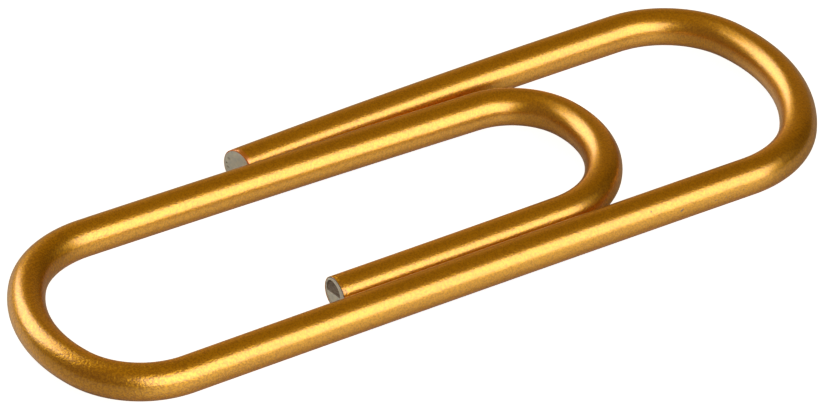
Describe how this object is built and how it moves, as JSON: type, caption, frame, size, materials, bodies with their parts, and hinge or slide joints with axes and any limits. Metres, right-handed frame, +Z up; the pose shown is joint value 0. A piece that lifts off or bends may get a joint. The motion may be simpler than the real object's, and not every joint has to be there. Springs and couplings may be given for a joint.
{
  "type": "paper clip",
  "caption": "Flat wire paper clip with a gold coat, a wide outer loop, a shorter inner tongue and bare sheared ends.",
  "frame": {"origin": "middle of the clip's footprint, on the surface it rests on", "axes": "+X along the clip towards the wide bend, +Y towards the outer leg, +Z up, away from the surface it lies on"},
  "size_m": [0.028, 0.0102, 0.0014],
  "materials": {
    "steel": "bare sheared steel, bright where the blade burnished it and dull grey where it broke",
    "gold_coat": "thin satin metallic gold coat with a fine grain along the wire"
  },
  "bodies": {
    "outer_loop": {"outer_leg_core": "steel", "outer_leg_coat": "gold_coat", "wide_bend_core": "steel", "wide_bend_coat": "gold_coat", "front_leg_core": "steel", "front_leg_coat": "gold_coat", "return_bend_front_core": "steel", "return_bend_front_coat": "gold_coat"},
    "tongue": {"return_bend_rear_core": "steel", "return_bend_rear_coat": "gold_coat", "middle_leg_core": "steel", "middle_leg_coat": "gold_coat", "tongue_bend_core": "steel", "tongue_bend_coat": "gold_coat", "tongue_leg_core": "steel", "tongue_leg_coat": "gold_coat"}
  },
  "joints": [
    {"name": "tongue_flex", "type": "hinge", "parent": "outer_loop", "child": "tongue", "pos_m": [-0.01344, -0.00113, 0.00078], "axis": [0, -1, 0], "range_deg": [0, 9], "stiffness_Nm_per_rad": 0.5}
  ]
}
